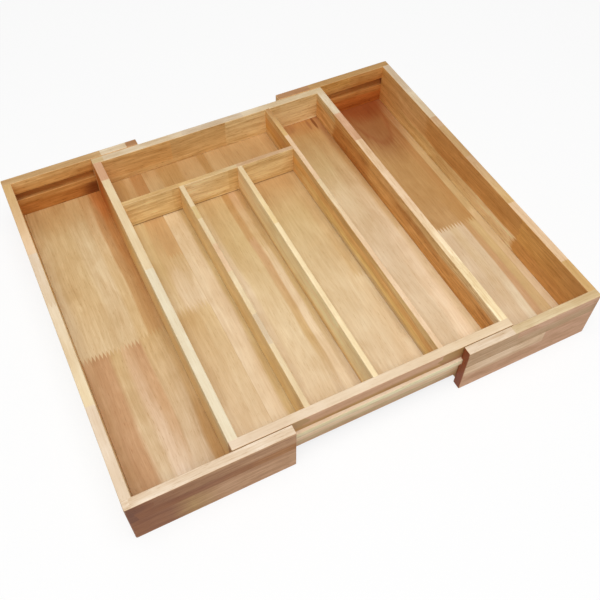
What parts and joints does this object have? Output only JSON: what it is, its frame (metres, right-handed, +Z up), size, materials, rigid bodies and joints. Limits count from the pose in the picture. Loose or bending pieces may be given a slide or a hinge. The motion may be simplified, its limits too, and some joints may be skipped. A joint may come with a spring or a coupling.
{
  "type": "extending cutlery tray",
  "caption": "Open wooden cutlery tray with a divided centre and two side wings that slide out on tongue-and-groove rails.",
  "frame": {"origin": "on the table under the middle of the tray with both wings drawn out", "axes": "+X right along the slides, +Y to the back, +Z up"},
  "size_m": [0.517, 0.44, 0.066],
  "materials": {
    "wall_wood": "satin lacquer",
    "floor_wood": "satin lacquer",
    "rail_wood": "satin lacquer",
    "divider_wood": "satin lacquer",
    "wing_board_wood": "satin lacquer",
    "wing_side_wood": "satin lacquer",
    "wing_floor_wood": "satin lacquer",
    "batten_wood": "plain"
  },
  "bodies": {
    "center_tray": {"center_front_wall": "wall_wood", "center_back_wall": "wall_wood", "center_left_wall": "wall_wood", "center_right_wall": "wall_wood", "center_floor": "floor_wood", "front_slide_rail": "rail_wood", "back_slide_rail": "rail_wood", "long_divider": "divider_wood", "cross_divider": "divider_wood", "short_divider_left": "divider_wood", "short_divider_right": "divider_wood"},
    "left_wing": {"left_wing_front_board": "wing_board_wood", "left_wing_back_board": "wing_board_wood", "left_wing_side_wall": "wing_side_wood", "left_wing_floor": "wing_floor_wood", "left_wing_stop_batten": "batten_wood"},
    "right_wing": {"right_wing_front_board": "wing_board_wood", "right_wing_back_board": "wing_board_wood", "right_wing_side_wall": "wing_side_wood", "right_wing_floor": "wing_floor_wood", "right_wing_stop_batten": "batten_wood"}
  },
  "joints": [
    {"name": "left_wing_slide", "type": "slide", "parent": "center_tray", "child": "left_wing", "axis": [1, 0, 0], "range_m": [0, 0.094]},
    {"name": "right_wing_slide", "type": "slide", "parent": "center_tray", "child": "right_wing", "axis": [-1, 0, 0], "range_m": [0, 0.094]}
  ]
}
